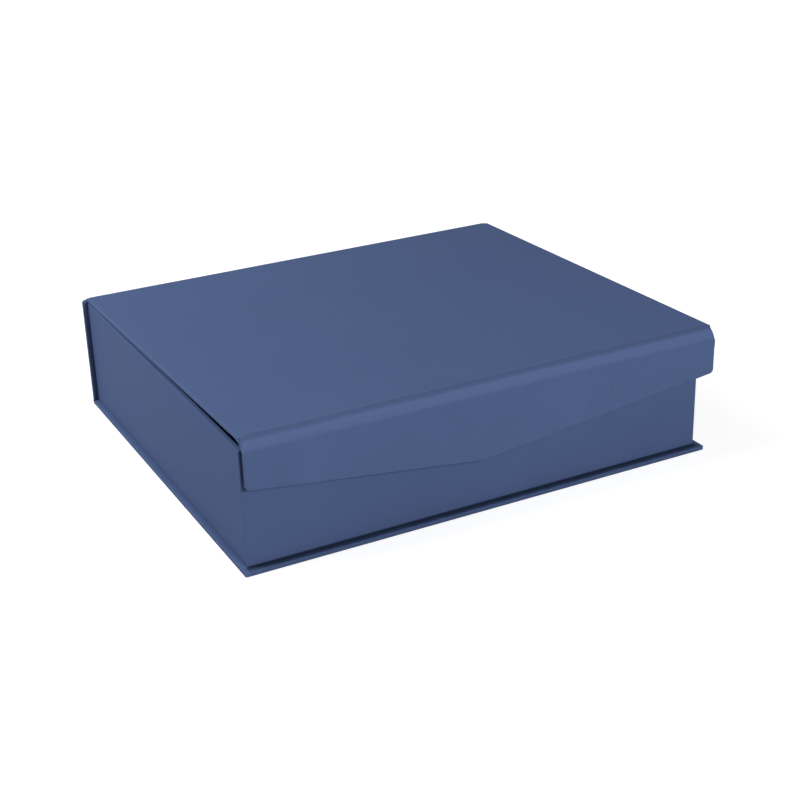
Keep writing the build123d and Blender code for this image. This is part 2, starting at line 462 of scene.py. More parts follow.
@dataclass(frozen=True)
class Finish:
    """What a piece is finished with."""

    title: str
    slot: str

    def material(self, piece: str, extent: Extent, grain: Grain) -> bpy.types.Material:
        """Builds the finish for one piece.

        Args:
            piece: The piece's name.
            extent: Where the piece is.
            grain: Which way its fibres or scratches run.

        Returns:
            The material.
        """
        material, pad = material_pad(f"{self.title}_{piece}")
        self._paint(pad, pad.coords(), extent, grain)
        return material

    def _paint(self, pad: NodePad, coords: Output, extent: Extent, grain: Grain) -> None:
        """Fills the material's pad. Each finish does this in its own way."""
        raise NotImplementedError

    @staticmethod
    def _surface(
        pad: NodePad, place: Output, grain: Grain, **pattern: float
    ) -> bpy.types.NodeOutputs:
        """The shared pattern of tone, gloss and height."""
        inputs = {"Place": place, "Stretch": grain.value, **pattern}
        return Effects.place(pad, "paper_surface", inputs).outputs


@dataclass(frozen=True)
class Paper(Finish):
    """Smooth paper glued over board: the wrapping, and the matt lining inside."""

    deep: Triple
    light: Triple
    rubbed: Triple
    roughness: tuple[float, float]
    specular: float
    bump: float
    streak: float
    wear: float

    def _paint(self, pad: NodePad, coords: Output, extent: Extent, grain: Grain) -> None:
        """Mottled, streaky paper, rubbed lighter along its edges, with painted shade and highlights
        at its seams.

        Args:
            pad: The material's pad.
            coords: The place on the piece.
            extent: Where the piece is.
            grain: Which way its fibres or scratches run.
        """
        place = self._level(pad, coords, extent)
        surface = self._surface(pad, place, grain, Streak=self.streak)
        box = {"Place": place, "Low": extent.low, "High": extent.high}
        worn = Effects.place(pad, "rubbed_edge", box).outputs["Worn"]
        tone = pad.remap(surface["Tone"], 0.3, 0.7, 0.0, 1.0)
        mask = pad.maths("MULTIPLY", worn, self.wear)
        colour = pad.tint(mask, pad.tint(tone, self.deep, self.light), self.rubbed)
        # painted shade and painted highlights along the piece's seams
        colour = seamed(pad, coords, colour, extent.seams)
        rough = pad.remap(surface["Gloss"], 0.25, 0.75, *self.roughness)
        specular = {"Specular IOR Level": self.specular}
        pad.finish(colour, rough, surface["Height"], self.bump, **specular)

    @staticmethod
    def _level(pad: NodePad, coords: Output, extent: Extent) -> Output:
        """Turns the pattern with a board that doesn't lie square, about the centre of its turn.

        Args:
            pad: The material's pad.
            coords: The place on the piece.
            extent: Where the piece is.

        Returns:
            The place on the board as it would lie square.
        """
        if not extent.turn:
            return coords
        swing = Matrix.Rotation(extent.turn, 3, "X")
        shift = Vector(extent.centre) - swing @ Vector(extent.centre)
        settings = {"Vector": coords, "Location": shift, "Rotation": (extent.turn, 0.0, 0.0)}
        return pad.add("Mapping", vector_type="POINT", inputs=settings).outputs[0]


@dataclass(frozen=True)
class Greyboard(Finish):
    """Uncoated grey bookbinder's board, with flecks of recycled fibre."""

    title: str = "greyboard"
    slot: str = "greyboard"
    deep: Triple = (0.20, 0.19, 0.175)
    light: Triple = (0.36, 0.345, 0.32)
    fleck: Triple = (0.09, 0.085, 0.08)
    bump: float = 0.08 * MM

    def _paint(self, pad: NodePad, coords: Output, extent: Extent, grain: Grain) -> None:
        """Grey fibres with dark flecks.

        Args:
            pad: The material's pad.
            coords: The place on the piece.
            extent: Where the piece is.
            grain: Which way its fibres or scratches run.
        """
        surface = self._surface(pad, coords, grain, Mottle=150.0, Felt=1400.0, Streak=1.0)
        tone = pad.remap(surface["Tone"], 0.25, 0.75, 0.0, 1.0)
        cells = pad.add("TexVoronoi", inputs={"Vector": coords, "Scale": 420.0})
        flecks = pad.remap(cells.outputs["Distance"], 0.1, 0.2, 0.8, 0.0)
        colour = pad.tint(flecks, pad.tint(tone, self.deep, self.light), self.fleck)
        colour = seamed(pad, coords, colour, extent.seams)
        rough = pad.remap(surface["Gloss"], 0.2, 0.8, 0.82, 0.96)
        specular = {"Specular IOR Level": 0.2}
        pad.finish(colour, rough, surface["Height"], self.bump, **specular)


@dataclass(frozen=True)
class KraftTape(Finish):
    """Gummed brown paper tape, ribbed across its length."""

    title: str = "kraft_tape"
    slot: str = "corner_tape"
    deep: Triple = (0.33, 0.21, 0.11)
    light: Triple = (0.46, 0.32, 0.19)
    bump: float = 0.05 * MM

    def _paint(self, pad: NodePad, coords: Output, extent: Extent, grain: Grain) -> None:
        """Brown paper with fine ribs.

        Args:
            pad: The material's pad.
            coords: The place on the piece.
            extent: Where the piece is. Not used.
            grain: Which way its fibres or scratches run.
        """
        surface = self._surface(pad, coords, grain, Mottle=90.0, Streak=0.9)
        wave = {"Vector": coords, "Scale": 260.0, "Distortion": 1.5, "Detail": 1.0}
        ribs = pad.add("TexWave", bands_direction="Z", inputs=wave).outputs["Fac"]
        ground = pad.maths("MULTIPLY", surface["Tone"], 0.8)
        tone = pad.maths("MULTIPLY_ADD", ribs, 0.3, ground, clamp=True)
        height = pad.maths("MULTIPLY_ADD", ribs, 0.5, surface["Height"])
        rough = pad.remap(surface["Gloss"], 0.2, 0.8, 0.5, 0.68)
        pad.finish(pad.tint(tone, self.deep, self.light), rough, height, self.bump)


@dataclass(frozen=True)
class PlatedSteel(Finish):
    """Nickel-plated magnet discs with fine scratches."""

    title: str = "plated_steel"
    slot: str = "magnet_steel"
    dull: Triple = (0.42, 0.41, 0.39)
    bright: Triple = (0.66, 0.65, 0.62)
    bump: float = 0.01 * MM

    def _paint(self, pad: NodePad, coords: Output, extent: Extent, grain: Grain) -> None:
        """Bright metal, duller in streaks.

        Args:
            pad: The material's pad.
            coords: The place on the piece.
            extent: Where the piece is. Not used.
            grain: Which way its fibres or scratches run.
        """
        surface = self._surface(pad, coords, grain, Mottle=300.0, Felt=2500.0, Streak=1.0)
        tone = pad.remap(surface["Tone"], 0.3, 0.7, 0.0, 1.0)
        rough = pad.remap(surface["Gloss"], 0.2, 0.8, 0.22, 0.4)
        colour = pad.tint(tone, self.dull, self.bright)
        pad.finish(colour, rough, surface["Height"], self.bump, Metallic=1.0)


WRAPPING = Paper(
    title="wrapping_paper",
    slot="wrapping_paper",
    deep=(0.0715, 0.1075, 0.2245),
    light=(0.0765, 0.1145, 0.2375),
    rubbed=(0.115, 0.16, 0.30),
    roughness=(0.44, 0.54),
    specular=0.005,
    bump=0.03 * MM,
    streak=0.35,
    wear=0.35,
)
FLAP_WRAPPING = replace(
    WRAPPING,
    title="flap_paper",
    deep=(0.0700, 0.1055, 0.2210),
    light=(0.0780, 0.1165, 0.2410),
    roughness=(0.42, 0.56),
    bump=0.05 * MM,
    streak=0.9,
)
# streakier paper for the flap joint; its painted highlight and painted shade come from the joint's
# seams
STRETCHED_WRAPPING = replace(WRAPPING, title="stretched_paper", streak=0.6)
# painted shade: the wrapping paper made darker for the tray, which is also less worn
TRAY_WRAPPING_IN_PAINTED_SHADE = replace(
    WRAPPING,
    title="tray_paper_in_painted_shade",
    deep=(0.0670, 0.1000, 0.2095),
    light=(0.0715, 0.1065, 0.2215),
    wear=0.08,
)
LINING = Paper(
    title="lining_paper",
    slot="lining_paper",
    deep=(0.074, 0.107, 0.226),
    light=(0.082, 0.117, 0.24),
    rubbed=(0.12, 0.16, 0.29),
    roughness=(0.6, 0.7),
    specular=0.005,
    bump=0.04 * MM,
    streak=0.2,
    wear=0.1,
)
GREYBOARD = Greyboard()
TAPE = KraftTape()
STEEL = PlatedSteel()


def put_on(piece: Piece, material: bpy.types.Material) -> None:
    """Puts one finish on a whole piece.

    Args:
        piece: The piece.
        material: Its finish.
    """
    if not piece.material_slots:
        piece.data.materials.append(None)
    for slot in piece.material_slots:
        slot.material = material


# ---- Modelling helpers --------------------------------------------------------------------
def start_clear() -> None:
    """Deselects everything, in object mode."""
    if bpy.context.mode != "OBJECT":
        bpy.ops.object.mode_set(mode="OBJECT")
    bpy.ops.object.select_all(action="DESELECT")


def hold(piece: Piece) -> None:
    """Makes one piece the active and only selected one.

    Args:
        piece: The piece.
    """
    start_clear()
    piece.select_set(True)
    bpy.context.view_layer.objects.active = piece


def pick_edges(piece: Piece, wanted: Callable[[Vector], bool]) -> None:
    """In edit mode, selects the edges that have both their ends where they are wanted.

    Args:
        piece: The piece in edit mode.
        wanted: Says for a point whether it is wanted.
    """
    bpy.ops.mesh.select_mode(type="EDGE")
    bpy.ops.mesh.select_all(action="DESELECT")
    shape = bmesh.from_edit_mesh(piece.data)
    for edge in shape.edges:
        edge.select_set(all(wanted(point.co) for point in edge.verts))
    shape.select_flush_mode()
    bmesh.update_edit_mesh(piece.data)


def apply_modifier(piece: Piece, kind: str, **settings: object) -> None:
    """Adds a modifier and applies it at once.

    Args:
        piece: The piece.
        kind: The modifier's type.
        settings: Its settings.
    """
    hold(piece)
    modifier = piece.modifiers.new(kind.lower(), kind)
    for key, value in settings.items():
        setattr(modifier, key, value)
    bpy.ops.object.modifier_apply(modifier=modifier.name)


def even_normals() -> None:
    """From edit mode, turns all faces the same way, and goes back to object mode."""
    bpy.ops.mesh.select_all(action="SELECT")
    bpy.ops.mesh.normals_make_consistent(inside=False)
    bpy.ops.object.mode_set(mode="OBJECT")


def settle(piece: Piece, angle: float = 40.0) -> None:
    """Sets a finished piece at the origin, with its faces outwards and its curves smooth.

    Args:
        piece: The piece.
        angle: Edges sharper than this many degrees stay sharp.
    """
    hold(piece)
    bpy.ops.object.transform_apply(location=True, rotation=True, scale=True)
    bpy.ops.object.mode_set(mode="EDIT")
    even_normals()
    bpy.ops.object.shade_smooth_by_angle(angle=math.radians(angle))
    start_clear()


# ---- Paper joints -------------------------------------------------------------------------
@dataclass
class PaperJoint:
    """Wrapping paper that bridges two boards of the case and bends where they turn.

    Its outer face is laid fold by fold from the first body to the second. Each end is rolled over,
    most between the boards, and tucked in towards the heart of the joint. Its slack runs in waves.
    """

    name: str
    bodies: tuple[str, str]
    node: str
    folds: Sequence[tuple[float, float]]
    left: float
    right: float
    bend: tuple[Triple, Triple]
    grain: Grain
    slack_rows: tuple[int, int]
    heart: tuple[float, float]
    slack: float
    wander: float = 0.0
    slack_wave: float = 35 * MM
    wander_wave: float = 28 * MM
    sidestep: Sequence[float] = ()
    columns: int = 96
    roll: float = 0.7 * MM
    loose_roll: float = 3.0 * MM
    roll_rows: tuple[int, int] = ()
    roll_cuts: Sequence[float] = (0.02, 0.08, 0.17, 0.3, 0.45, 0.65, 0.95)
    fullness: float = 0.7
    paper: Paper = WRAPPING
    seams: tuple[Seam, ...] = ()
    thickness: float = 0.3 * MM

    def build(self) -> Piece:
        """Builds and dresses the joint, and hides the frame's paper that it stands for.

        Returns:
            The finished piece.
        """
        piece = self._lay()
        self._slacken(piece)
        self._roll_ends(piece)
        self._tuck_in(piece, self._step_aside(piece))
        apply_modifier(piece, "SOLIDIFY", thickness=self.thickness, offset=-1.0)
        settle(piece, 50.0)
        low = tuple(min(v.co[i] for v in piece.data.vertices) for i in range(3))
        high = tuple(max(v.co[i] for v in piece.data.vertices) for i in range(3))
        extent = Extent(low, high, seams=self.seams)
        put_on(piece, self.paper.material(self.name, extent, self.grain))
        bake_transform(piece)
        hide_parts(self.node)
        return piece

    def _lay(self) -> Piece:
        """Lays the sheet from its first fold line to its last.

        Returns:
            The sheet, with each point marked with the fold line that it lies on.
        """
        start_clear()
        (y0, z0), (y1, z1) = self.folds[:2]
        middle = ((self.left + self.right) / 2, (y0 + y1) / 2, (z0 + z1) / 2)
        bpy.ops.mesh.primitive_grid_add(
            x_subdivisions=self.columns, y_subdivisions=1, size=1.0, location=middle
        )
        piece = bpy.context.object
        piece.name = self.name
        piece.data.name = self.name
        width = self.right - self.left
        bpy.ops.object.mode_set(mode="EDIT")
        bpy.ops.transform.resize(value=(width, 1.0, 1.0))
        bpy.ops.object.mode_set(mode="OBJECT")
        bpy.ops.object.transform_apply(location=True, rotation=True, scale=True)
        for vertex in piece.data.vertices:
            first = vertex.co.y > middle[1]
            vertex.co.y, vertex.co.z = (y0, z0) if first else (y1, z1)
        bpy.ops.object.mode_set(mode="EDIT")
        for (y, z), there in zip(self.folds[1:], self.folds[2:]):
            pick_edges(piece, lambda p: abs(p.y - y) < TOUCH and abs(p.z - z) < TOUCH)
            step = (0.0, there[0] - y, there[1] - z)
            bpy.ops.mesh.extrude_region_move(TRANSFORM_OT_translate={"value": step})
        even_normals()
        self._face_out(piece)
        marks = piece.data.attributes.new("fold", "FLOAT", "POINT")
        for vertex, mark in zip(piece.data.vertices, marks.data):
            here = Vector((vertex.co.y, vertex.co.z))
            gaps = [(here - Vector(fold)).length for fold in self.folds]
            mark.value = gaps.index(min(gaps))
        return piece

    def _rows(self, piece: Piece) -> list[int]:
        """The fold line that each point of the sheet lies on."""
        return [round(mark.value) for mark in piece.data.attributes["fold"].data]

    def _step_aside(self, piece: Piece) -> list[list[Vector]]:
        """Moves each fold line along the box, where the two boards don't stand in line.

        Args:
            piece: The sheet.

        Returns:
            For each open end, the points of the sheet that lie between the boards.
        """
        first, last = self.slack_rows
        ends: list[list[Vector]] = [[], []]
        for vertex, row in zip(piece.data.vertices, self._rows(piece)):
            sides = [abs(vertex.co.x - end) < TOUCH for end in (self.left, self.right)]
            vertex.co.x += self.sidestep[row] if self.sidestep else 0.0
            if any(sides) and first <= row <= last:
                ends[sides.index(True)].append(vertex.co.copy())
        return ends

    def _tuck_in(self, piece: Piece, ends: list[list[Vector]]) -> None:
        """Tucks the paper in at each open end, towards the heart of the joint.

        Args:
            piece: The sheet.
            ends: For each open end, the points that lie between the boards.
        """
        hold(piece)
        bpy.ops.object.mode_set(mode="EDIT")
        for end in ends:
            pick_edges(piece, lambda p: any((p - q).length < TOUCH for q in end))
            bpy.ops.mesh.extrude_region_move(TRANSFORM_OT_translate={"value": (0.0, 0.0, 0.0)})
            bpy.ops.mesh.merge(type="CENTER")
            middle = sum(end, Vector()) / len(end)
            step = (0.0, self.heart[0] - middle.y, self.heart[1] - middle.z)
            bpy.ops.transform.translate(value=step)
        even_normals()
        piece.data.attributes.remove(piece.data.attributes["fold"])
        self._face_out(piece)

    def _face_out(self, piece: Piece) -> None:
        """Turns the sheet so that its outer face looks up and away from the box.

        Args:
            piece: The sheet, whose first face lies on the lid.
        """
        hold(piece)
        first = piece.data.polygons[0].normal
        if first.z < 0:
            bpy.ops.object.mode_set(mode="EDIT")
            bpy.ops.mesh.select_all(action="SELECT")
            bpy.ops.mesh.flip_normals()
            bpy.ops.object.mode_set(mode="OBJECT")

    def _slacken(self, piece: Piece) -> None:
        """Lets the rows between the boards wave softly along the box.

        Args:
            piece: The sheet.
        """
        first, last = self.slack_rows
        group = piece.vertex_groups.new(name="loose")
        for vertex, row in zip(piece.data.vertices, self._rows(piece)):
            if first <= row <= last:
                group.add([vertex.index], self._freedom(row, self.slack_rows), "REPLACE")
        waves = {"texture_coords": "LOCAL", "mid_level": 0.5, "vertex_group": group.name}
        for direction, strength, scale in (
            ("NORMAL", self.slack, self.slack_wave),
            ("Y", self.wander, self.wander_wave),
        ):
            if not strength:
                continue
            cloud = bpy.data.textures.new(f"{self.name}_{direction.lower()}_waves", "CLOUDS")
            cloud.noise_scale = scale
            cloud.noise_depth = 1
            waves.update(texture=cloud, direction=direction, strength=strength)
            apply_modifier(piece, "DISPLACE", **waves)
            bpy.data.textures.remove(cloud)
        piece.vertex_groups.clear()

    @staticmethod
    def _freedom(row: int, rows: tuple[int, int]) -> float:
        """How free the paper is on a fold line.

        Args:
            row: The fold line.
            rows: The first and last fold line between the boards.

        Returns:
            1 halfway between the two fold lines, and 0 well beyond them.
        """
        first, last = rows
        along = min(max((row - first + 0.5) / (last - first + 1), 0.0), 1.0)
        return math.sin(math.pi * along)

    def _roll_ends(self, piece: Piece) -> None:
        """Rolls the sheet over at its two ends, as on the boards' edges, and more between them.

        Args:
            piece: The sheet.
        """
        hold(piece)
        bpy.ops.object.mode_set(mode="EDIT")
        for share in self.roll_cuts:
            for cut in (self.left + share * self.loose_roll, self.right - share * self.loose_roll):
                bpy.ops.mesh.select_all(action="SELECT")
                bpy.ops.mesh.bisect(plane_co=(cut, 0.0, 0.0), plane_no=(1.0, 0.0, 0.0))
        bpy.ops.object.mode_set(mode="OBJECT")
        rows = self.roll_rows or self.slack_rows
        normals = [v.normal.copy() for v in piece.data.vertices]
        for vertex, normal, row in zip(piece.data.vertices, normals, self._rows(piece)):
            share = self._freedom(row, rows) ** self.fullness
            radius = self.roll + (self.loose_roll - self.roll) * share
            inside = min(vertex.co.x - self.left, self.right - vertex.co.x)
            if inside < radius:
                drop = radius - math.sqrt(max(radius**2 - (radius - inside) ** 2, 0.0))
                vertex.co -= Vector((0.0, normal.y, normal.z)) * drop


def turned(y: float, z: float, pivot: Vector, angle: float) -> tuple[float, float]:
    """Where a point of the pressed-down lid is while the lid stands ajar.

    Args:
        y: Y of the point with the lid pressed down.
        z: Its height.
        pivot: A point on the lid's pivot line.
        angle: How far the lid stands up, in radians.

    Returns:
        Its Y and height.
    """
    out, up = y - pivot.y, z - pivot.z
    cos, sin = math.cos(angle), math.sin(angle)
    return pivot.y + out * cos + up * sin, pivot.z - out * sin + up * cos


@dataclass
class FlapJoint:
    """The wide paper joint between the lid's front edge and the flap.

    Its paper climbs a low ridge on the lid, bows out over the gap and lies down on the flap. Rise
    is the ridge, as millimetres behind the lid's edge and shares of its height. Crest is where the
    arch starts, ahead of the edge and as a share of the ridge, and foot is how far above the flap
    it ends. Landing is the paper's end on the flap, as millimetres inwards and down from its top.
    """

    ajar: float = LID_AJAR
    ridge: float = 0.8 * MM
    rise: Sequence[tuple[float, float]] = (
        (5.0, -0.05), (4.2, 0.0), (3.4, 0.07), (2.7, 0.16),
        (1.9, 0.3), (1.2, 0.45), (0.6, 0.56), (0.0, 0.6),
    )
    crest: tuple[float, float] = (0.5 * MM, 0.58)
    foot: float = 0.35 * MM
    landing: Sequence[tuple[float, float]] = ((-0.05, 0.3), (-0.03, 1.3), (0.01, 2.6), (0.07, 3.8))
    proud: float = 0.05 * MM
    crown: float = 1.1 * MM
    roundness: float = 0.8
    arch_steps: int = 9
    tuck: float = 1.2 * MM

    def build(self) -> Piece:
        """Builds the joint from the crease on the lid to the flap's outer face.

        Returns:
            The finished piece.
        """
        lid_low, lid_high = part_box("lid_wrap")
        flap_low, flap_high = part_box("flap_wrap")
        edge_y, edge_z, face_y, top_z = lid_low.y, lid_high.z, flap_low.y, flap_high.z
        slope = math.tan(self.ajar)
        folds = [
            (edge_y + back * MM, edge_z - back * MM * slope + up * self.ridge)
            for back, up in self.rise
        ]
        crest = Vector((edge_y - self.crest[0], edge_z + self.crest[1] * self.ridge))
        folds += self._arch(crest, Vector((face_y - self.proud, top_z + self.foot)))
        arch_end = len(folds) - 1
        folds += [(face_y + inward * MM, top_z - down * MM) for inward, down in self.landing]
        middle = (lid_low.x + lid_high.x) / 2
        joint = PaperJoint(
            name="flap_joint_cover",
            bodies=("lid", "flap"),
            node="flap_hinge_paper",
            folds=folds,
            left=lid_low.x - OVERLAP,
            right=lid_high.x + OVERLAP,
            bend=((middle, edge_y, edge_z), (middle, face_y, top_z)),
            grain=Grain.UPRIGHT,
            slack_rows=(len(self.rise) - 1, arch_end),
            heart=(edge_y - self.tuck, top_z + self.tuck),
            slack=0.5 * MM,
            wander=0.6 * MM,
            roll_rows=(1, arch_end),
            fullness=0.5,
            paper=STRETCHED_WRAPPING,
            seams=self._seams(edge_y, face_y, top_z),
        )
        return joint.build()

    @staticmethod
    def _seams(edge_y: float, face_y: float, top_z: float) -> tuple[Seam, Seam]:
        """A painted highlight on the paper between the boards, and painted shade in the soft crease
        on the lid.

        Args:
            edge_y: Y of the lid's front edge.
            face_y: Y of the flap's outer face.
            top_z: Height of the flap's upper edge.

        Returns:
            Both seams.
        """
        # painted highlight on the bowed paper over the gap
        highlight_seam = Seam(
            away=(0.0, 0.0, 1.0),
            start=top_z + 2.0 * MM,
            width=5.0 * MM,
            near=0.85,
            far=0.6,
            soft=0.3,
            across=(0.0, 1.0, 0.0),
            middle=face_y,
            half=edge_y - face_y - 1.5 * MM,
            fade=1.0 * MM,
            tone=PAINTED_HIGHLIGHT,
        )
        # painted shade along the crease at the lid's front edge
        crease = Seam(
            away=(0.0, 1.0, 0.0),
            start=edge_y - 2.1 * MM,
            width=3.2 * MM,
            near=0.26,
            far=0.0,
            soft=0.25,
        )
        return highlight_seam, crease

    def _arch(self, start: Vector, end: Vector) -> list[tuple[float, float]]:
        """Points of the bowed strip between the two boards, as a curve that ends upright.

        Args:
            start: Y and height of its start on the lid.
            end: Y and height of its end above the flap.

        Returns:
            Y and height of each point.
        """
        chord = end - start
        out = Vector((chord.y, -chord.x)).normalized()
        if out.x > 0:
            out.negate()
        points = []
        for i in range(self.arch_steps + 1):
            t = i / self.arch_steps
            bow = math.sin(math.pi * t) ** self.roundness * self.crown
            point = start + chord * t + out * bow
            points.append((max(point.x, end.x), point.y))
        return points


@dataclass
class SpineJoint:
    """The paper joint on which the lid folds back over the spine.

    Lead is where its paper starts on the lid, in millimetres ahead of the lid's rear edge and above
    the lid. It passes the edge by a lip and rounds the corner. Landing is its end on the spine, as
    millimetres inwards and down from the spine's upper rear edge.
    """

    ajar: float = LID_AJAR
    lead: Sequence[tuple[float, float]] = ((4.0, -0.06), (2.6, 0.02), (1.2, 0.04))
    lip: float = 0.2 * MM
    landing: Sequence[tuple[float, float]] = ((-0.03, 0.2), (-0.03, 1.2), (0.06, 3.0))
    bend: float = 1.5 * MM
    bend_steps: int = 6
    proud: float = 0.03 * MM
    tuck: tuple[float, float] = (0.5 * MM, 0.4 * MM)

    def build(self) -> Piece:
        """Builds the joint from the spine's back to the lid's top.

        Returns:
            The finished piece.
        """
        spine_low, spine_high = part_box("spine_wrap")
        lid_low, lid_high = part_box("lid_wrap")
        rear_y, back_y = lid_high.y, spine_high.y
        top_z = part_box("lid_hinge_paper")[1].z
        slope = math.tan(self.ajar)
        folds = [
            (rear_y - front * MM, top_z + front * MM * slope + up * MM) for front, up in self.lead
        ]
        folds.append((rear_y + self.lip, top_z))
        centre = (back_y + self.proud - self.bend, top_z - self.bend)
        for i in range(self.bend_steps + 1):
            turn = math.radians(90 - 90 * i / self.bend_steps)
            out, up = self.bend * math.cos(turn), self.bend * math.sin(turn)
            folds.append((centre[0] + out, centre[1] + up))
        bend_end = len(folds) - 1
        folds += [(back_y - inward * MM, spine_high.z - down * MM) for inward, down in self.landing]
        middle = (spine_low.x + spine_high.x) / 2
        joint = PaperJoint(
            name="spine_joint_cover",
            bodies=("lid", "case"),
            node="lid_hinge_paper",
            folds=folds,
            left=lid_low.x - OVERLAP,
            right=lid_high.x + OVERLAP,
            sidestep=[(spine_low.x - lid_low.x) * share for share in self._shares(len(folds))],
            bend=((middle, rear_y, top_z), (middle, back_y, spine_high.z)),
            grain=Grain.UPRIGHT,
            slack_rows=(len(self.lead), bend_end),
            heart=(rear_y + self.tuck[0], spine_high.z + self.tuck[1]),
            slack=0.12 * MM,
        )
        return joint.build()

    def _shares(self, count: int) -> list[float]:
        """For each fold line, how far it has moved from the lid's place to the spine's, 0 to 1."""
        first = len(self.lead)
        return [min(max((i - first) / self.bend_steps, 0.0), 1.0) for i in range(count)]


# ---- Boards and papers of the frame -------------------------------------------------------
DRESSED = (
    (WRAPPING, Grain.ALONG_WIDTH, ("base_wrap", "base_hinge_paper")),
    (WRAPPING, Grain.ALONG_DEPTH, ("lid_wrap", "lid_hinge_paper")),
    (WRAPPING, Grain.UPRIGHT, ("spine_wrap", "flap_hinge_paper")),
    (FLAP_WRAPPING, Grain.UPRIGHT, ("flap_wrap",)),
    (TRAY_WRAPPING_IN_PAINTED_SHADE, Grain.UPRIGHT, ("tray_wrap",)),
    (LINING, Grain.ALONG_DEPTH, ("base_lining", "lid_lining", "tray_floor_lining")),
    (LINING, Grain.UPRIGHT, ("spine_lining", "flap_lining", "tray_wall_linings")),
    (TAPE, Grain.UPRIGHT, ("tray_corner_stays",)),
    (STEEL, Grain.UPRIGHT, ("flap_magnets", "tray_magnets")),
    (GREYBOARD, Grain.ALONG_DEPTH, ("base_board", "lid_board", "tray_floor_board")),
    (GREYBOARD, Grain.UPRIGHT, ("spine_board", "flap_board", "tray_front_board")),
    (GREYBOARD, Grain.UPRIGHT, ("tray_rear_board", "tray_left_board", "tray_right_board")),
)


@dataclass
class Boards:
    """The rigid pieces of the frame and the finish that each of them has."""

    foot_round: ClassVar[float] = 0.55 * MM  # rounding of the tray's paper along its foot
    ajar: float = LID_AJAR
    papers: dict[str, tuple[Finish, Grain]] = field(default_factory=lambda: {
        name: (finish, grain) for finish, grain, names in DRESSED for name in names
    })

    def dress(self, nodes: dict[str, Piece], pivot: Vector) -> None:
        """Gives every node of the frame its finish.

        Args:
            nodes: The frame's nodes by name.
            pivot: A point on the lid's pivot line.
        """
        for name, node in nodes.items():
            finish, grain = self.papers[name]
            put_on(node, finish.material(name, self._extent(name, pivot), grain))
            LOG.info("dressed %s in %s", name, finish.title)

    def _extent(self, name: str, pivot: Vector) -> Extent:
        """Box of a node, with the lid turned back to where it lies square, and its seams.

        Args:
            name: The node's name.
            pivot: A point on the lid's pivot line.

        Returns:
            Where the node is.
        """
        low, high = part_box(name)
        if not name.startswith("lid_") or name == "lid_hinge_paper":
            return Extent(tuple(low), tuple(high), seams=self._seams(name))
        rear_y, rear_z = turned(high.y, low.z, pivot, -self.ajar)
        front_y, front_z = turned(low.y, high.z, pivot, -self.ajar)
        corners = (low.x, front_y, rear_z), (high.x, rear_y, front_z)
        return Extent(*corners, self.ajar, tuple(pivot), self._seams(name))

    @staticmethod
    def _seams(name: str) -> tuple[Seam, ...]:
        """The seams of a node: painted shade against the tray's foot and the spine, or its pasted
        ends.

        Args:
            name: The node's name.

        Returns:
            Its seams, if it has any.
        """
        low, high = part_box("tray_wrap")
        front_ledge = low.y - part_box("base_wrap")[0].y
        if name == "base_wrap":
            # painted shade on the base's front ledge, darkest at the tray's foot
            span = {"middle": (low.x + high.x) / 2, "half": (high.x - low.x) / 2}
            ledge = {"start": -low.y, "width": front_ledge, "near": 0.83, "far": 0.2}
            return (Seam((0.0, -1.0, 0.0), **ledge, **span),)
        if name == "tray_wrap":
            # painted shade along the tray's foot
            foot = -low.y - low.z - Boards.foot_round
            return (Seam((0.0, -1.0, -1.0), start=foot, width=1.2 * MM, near=0.6, far=0.6),)
        if name == "spine_wrap":
            # painted shade on the spine beyond each end of the tray
            inner_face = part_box(name)[0].y
            shade = {"near": 0.54, "far": 0.3, "half": 1.6 * MM, "fade": 0.5 * MM}
            shade.update(across=(0.0, 1.0, 0.0), middle=inner_face)
            left = Seam((-1.0, 0.0, 0.0), start=-low.x, width=2.4 * MM, **shade)
            right = Seam((1.0, 0.0, 0.0), start=high.x, width=3.3 * MM, **shade)
            return left, right
        return Boards._pasted_ends(name)

    @staticmethod
    def _pasted_ends(name: str) -> tuple[Seam, ...]:
        """The boards' ends in the two open joints, in the paper's tone as if pasted over.

        Args:
            name: The node's name.

        Returns:
            A seam for each such end.
        """
        paper = {"width": 1.0 * MM, "near": 1.0, "far": 1.0, "tone": PASTED}
        reach = 0.8 * MM
        low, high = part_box(name)
        if name in ("spine_board", "flap_board"):
            return (Seam((0.0, 0.0, 1.0), high.z - reach, **paper),)
        if name == "lid_board":
            rear = Seam((0.0, 1.0, 0.0), high.y - reach, **paper)
            front = Seam((0.0, -1.0, 0.0), -low.y - reach, **paper)
            return rear, front
        return ()


# ---- Studio -------------------------------------------------------------------------------
WHITE = (1.0, 1.0, 1.0, 1.0)


@dataclass
class SoftBox:
    """One large soft lamp."""

    name: str
    place: Triple
    target: Triple
    size: tuple[float, float]
    power: float

    def build(self) -> None:
        """Hangs the lamp, turned to its target."""
        start_clear()
        bpy.ops.object.light_add(type="AREA", location=self.place)
        lamp = bpy.context.object
        lamp.name = self.name
        lamp.data.shape = "RECTANGLE"
        lamp.data.size, lamp.data.size_y = self.size
        lamp.data.energy = self.power
        aim = Vector(self.target) - Vector(self.place)
        lamp.rotation_euler = aim.to_track_quat("-Z", "Y").to_euler()
        lamp.visible_camera = False


